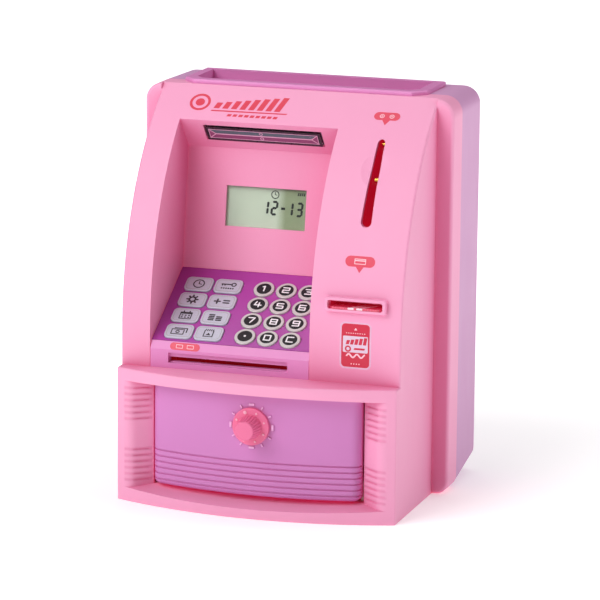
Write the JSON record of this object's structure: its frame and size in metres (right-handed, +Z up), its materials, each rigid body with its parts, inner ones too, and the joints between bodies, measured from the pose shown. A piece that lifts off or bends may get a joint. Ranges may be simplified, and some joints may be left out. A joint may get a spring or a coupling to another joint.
{
  "type": "toy cash machine savings bank",
  "caption": "Toy savings bank shaped like a cash machine, with a recessed keypad and screen, coin slot, note slot, card slot, top tray and a money drawer with a dial knob.",
  "frame": {"origin": "centre of the footprint, on the surface that the bank stands on", "axes": "+X is the bank's right seen from the front, +Y its back, +Z up"},
  "size_m": [0.148, 0.1257, 0.1854],
  "materials": {
    "pink_plastic": "satin moulded plastic",
    "pink_trim": "satin moulded plastic",
    "lilac_plastic": "satin moulded plastic",
    "lilac_gloss": "satin moulded plastic",
    "lilac_trim": "satin moulded plastic",
    "keypad_film": "printed film",
    "key_black": "printed cap with a silver ring",
    "key_silver": "pearl cap",
    "key_rubber": "matt",
    "circuit_board": "solder mask",
    "screen_glass": "clear",
    "display_cell": "liquid crystal cell",
    "clear_plastic": "clear moulding",
    "dark_plastic": "matt",
    "steel": "bright",
    "white_plastic": "matt",
    "red_plastic": "glossy",
    "brass": "polished",
    "card_print": "printed card",
    "cell_wrap": "printed sleeve"
  },
  "bodies": {
    "casing": {"back_shell": "lilac_plastic", "battery_box": "dark_plastic", "battery_cells": "cell_wrap", "battery_contacts": "steel", "card_bezel": "pink_plastic", "card_guide": "white_plastic", "casing_screws": "steel", "coin_chute": "red_plastic", "contact_pins": "steel", "drawer_rails": "white_plastic", "feed_bracket": "red_plastic", "feed_motor": "steel", "front_shell": "pink_plastic", "key_board": "circuit_board", "key_mat": "key_rubber", "keypad_panel": "keypad_film", "lamp_cover": "clear_plastic", "lamp_housing": "dark_plastic", "lamp_leds": "clear_plastic", "lock_coil": "steel", "main_board": "circuit_board", "note_bezel": "lilac_trim", "screen_module": "display_cell", "screen_window": "screen_glass", "speaker": "dark_plastic", "top_tray": "lilac_trim"},
    "drawer": {"drawer_front": "lilac_gloss", "drawer_tub": "lilac_gloss"},
    "knob": {"dial_knob": "pink_trim", "latch_cam": "steel", "shaft_clip": "steel"},
    "card": {"bank_card": "card_print"},
    "feed_axle": {"feed_roller": "steel", "feed_tyres": "key_rubber"},
    "idle_roller": {"pinch_roller": "steel"},
    "pinion": {"motor_pinion": "white_plastic"},
    "upper_contact": {"coin_contact_upper": "brass"},
    "lower_contact": {"coin_contact_lower": "brass"},
    "battery_door": {"battery_cover": "lilac_plastic"},
    "plunger": {"lock_plunger": "steel"},
    "press_1": {"key_1": "key_black"},
    "press_2": {"key_2": "key_black"},
    "press_3": {"key_3": "key_black"},
    "press_4": {"key_4": "key_black"},
    "press_5": {"key_5": "key_black"},
    "press_6": {"key_6": "key_black"},
    "press_7": {"key_7": "key_black"},
    "press_8": {"key_8": "key_black"},
    "press_9": {"key_9": "key_black"},
    "press_dot": {"key_dot": "key_black"},
    "press_0": {"key_0": "key_black"},
    "press_clear": {"key_clear": "key_black"},
    "press_clock": {"key_clock": "key_silver"},
    "press_password": {"key_password": "key_silver"},
    "press_set": {"key_set": "key_silver"},
    "press_sum": {"key_sum": "key_silver"},
    "press_day": {"key_day": "key_silver"},
    "press_money": {"key_money": "key_silver"},
    "press_note": {"key_note": "key_silver"},
    "press_card": {"key_card": "key_silver"}
  },
  "joints": [
    {"name": "drawer_slide", "type": "slide", "parent": "casing", "child": "drawer", "axis": [0, -1, 0], "range_m": [0, 0.055]},
    {"name": "knob_turn", "type": "hinge", "parent": "drawer", "child": "knob", "pos_m": [0.0006, -0.05, 0.0416], "axis": [0, -1, 0], "range_deg": [0, 90]},
    {"name": "card_slide", "type": "slide", "parent": "casing", "child": "card", "axis": [0, -1, 0], "range_m": [0, 0.028]},
    {"name": "feed_spin", "type": "hinge", "parent": "casing", "child": "feed_axle", "pos_m": [0, -0.032, 0.062], "axis": [1, 0, 0], "continuous": true},
    {"name": "idle_spin", "type": "hinge", "parent": "casing", "child": "idle_roller", "pos_m": [0, -0.032, 0.06835], "axis": [1, 0, 0], "continuous": true},
    {"name": "pinion_spin", "type": "hinge", "parent": "casing", "child": "pinion", "pos_m": [0, -0.0245, 0.062], "axis": [1, 0, 0], "continuous": true},
    {"name": "upper_contact_tilt", "type": "hinge", "parent": "casing", "child": "upper_contact", "pos_m": [0.048, 0.00708, 0.16], "axis": [1, 0, 0], "range_deg": [0, 10], "stiffness_Nm_per_rad": 0.002, "springref_deg": -5.73},
    {"name": "lower_contact_tilt", "type": "hinge", "parent": "casing", "child": "lower_contact", "pos_m": [0.048, -0.00424, 0.1456], "axis": [1, 0, 0], "range_deg": [0, 10], "stiffness_Nm_per_rad": 0.002, "springref_deg": -5.73},
    {"name": "battery_door_lift", "type": "slide", "parent": "casing", "child": "battery_door", "axis": [0, 1, 0], "range_m": [0, 0.012]},
    {"name": "plunger_drop", "type": "slide", "parent": "casing", "child": "plunger", "axis": [0, 0, -1], "range_m": [0, 0.0035], "stiffness_N_per_m": 60, "springref_m": -0.002},
    {"name": "1_press", "type": "slide", "parent": "casing", "child": "press_1", "axis": [0, 0.5284, -0.849], "range_m": [0, 0.0008], "stiffness_N_per_m": 400, "springref_m": -0.0004},
    {"name": "2_press", "type": "slide", "parent": "casing", "child": "press_2", "axis": [0, 0.5284, -0.849], "range_m": [0, 0.0008], "stiffness_N_per_m": 400, "springref_m": -0.0004},
    {"name": "3_press", "type": "slide", "parent": "casing", "child": "press_3", "axis": [0, 0.5284, -0.849], "range_m": [0, 0.0008], "stiffness_N_per_m": 400, "springref_m": -0.0004},
    {"name": "4_press", "type": "slide", "parent": "casing", "child": "press_4", "axis": [0, 0.5284, -0.849], "range_m": [0, 0.0008], "stiffness_N_per_m": 400, "springref_m": -0.0004},
    {"name": "5_press", "type": "slide", "parent": "casing", "child": "press_5", "axis": [0, 0.5284, -0.849], "range_m": [0, 0.0008], "stiffness_N_per_m": 400, "springref_m": -0.0004},
    {"name": "6_press", "type": "slide", "parent": "casing", "child": "press_6", "axis": [0, 0.5284, -0.849], "range_m": [0, 0.0008], "stiffness_N_per_m": 400, "springref_m": -0.0004},
    {"name": "7_press", "type": "slide", "parent": "casing", "child": "press_7", "axis": [0, 0.5284, -0.849], "range_m": [0, 0.0008], "stiffness_N_per_m": 400, "springref_m": -0.0004},
    {"name": "8_press", "type": "slide", "parent": "casing", "child": "press_8", "axis": [0, 0.5284, -0.849], "range_m": [0, 0.0008], "stiffness_N_per_m": 400, "springref_m": -0.0004},
    {"name": "9_press", "type": "slide", "parent": "casing", "child": "press_9", "axis": [0, 0.5284, -0.849], "range_m": [0, 0.0008], "stiffness_N_per_m": 400, "springref_m": -0.0004},
    {"name": "dot_press", "type": "slide", "parent": "casing", "child": "press_dot", "axis": [0, 0.5284, -0.849], "range_m": [0, 0.0008], "stiffness_N_per_m": 400, "springref_m": -0.0004},
    {"name": "0_press", "type": "slide", "parent": "casing", "child": "press_0", "axis": [0, 0.5284, -0.849], "range_m": [0, 0.0008], "stiffness_N_per_m": 400, "springref_m": -0.0004},
    {"name": "clear_press", "type": "slide", "parent": "casing", "child": "press_clear", "axis": [0, 0.5284, -0.849], "range_m": [0, 0.0008], "stiffness_N_per_m": 400, "springref_m": -0.0004},
    {"name": "clock_press", "type": "slide", "parent": "casing", "child": "press_clock", "axis": [0, 0.5284, -0.849], "range_m": [0, 0.0008], "stiffness_N_per_m": 400, "springref_m": -0.0004},
    {"name": "password_press", "type": "slide", "parent": "casing", "child": "press_password", "axis": [0, 0.5284, -0.849], "range_m": [0, 0.0008], "stiffness_N_per_m": 400, "springref_m": -0.0004},
    {"name": "set_press", "type": "slide", "parent": "casing", "child": "press_set", "axis": [0, 0.5284, -0.849], "range_m": [0, 0.0008], "stiffness_N_per_m": 400, "springref_m": -0.0004},
    {"name": "sum_press", "type": "slide", "parent": "casing", "child": "press_sum", "axis": [0, 0.5284, -0.849], "range_m": [0, 0.0008], "stiffness_N_per_m": 400, "springref_m": -0.0004},
    {"name": "day_press", "type": "slide", "parent": "casing", "child": "press_day", "axis": [0, 0.5284, -0.849], "range_m": [0, 0.0008], "stiffness_N_per_m": 400, "springref_m": -0.0004},
    {"name": "money_press", "type": "slide", "parent": "casing", "child": "press_money", "axis": [0, 0.5284, -0.849], "range_m": [0, 0.0008], "stiffness_N_per_m": 400, "springref_m": -0.0004},
    {"name": "note_press", "type": "slide", "parent": "casing", "child": "press_note", "axis": [0, 0.5284, -0.849], "range_m": [0, 0.0008], "stiffness_N_per_m": 400, "springref_m": -0.0004},
    {"name": "card_press", "type": "slide", "parent": "casing", "child": "press_card", "axis": [0, 0.5284, -0.849], "range_m": [0, 0.0008], "stiffness_N_per_m": 400, "springref_m": -0.0004}
  ],
  "couplings": [
    {"joint": "pinion_spin", "follows": "feed_spin", "ratio": -2},
    {"joint": "idle_spin", "follows": "feed_spin", "ratio": -2}
  ]
}
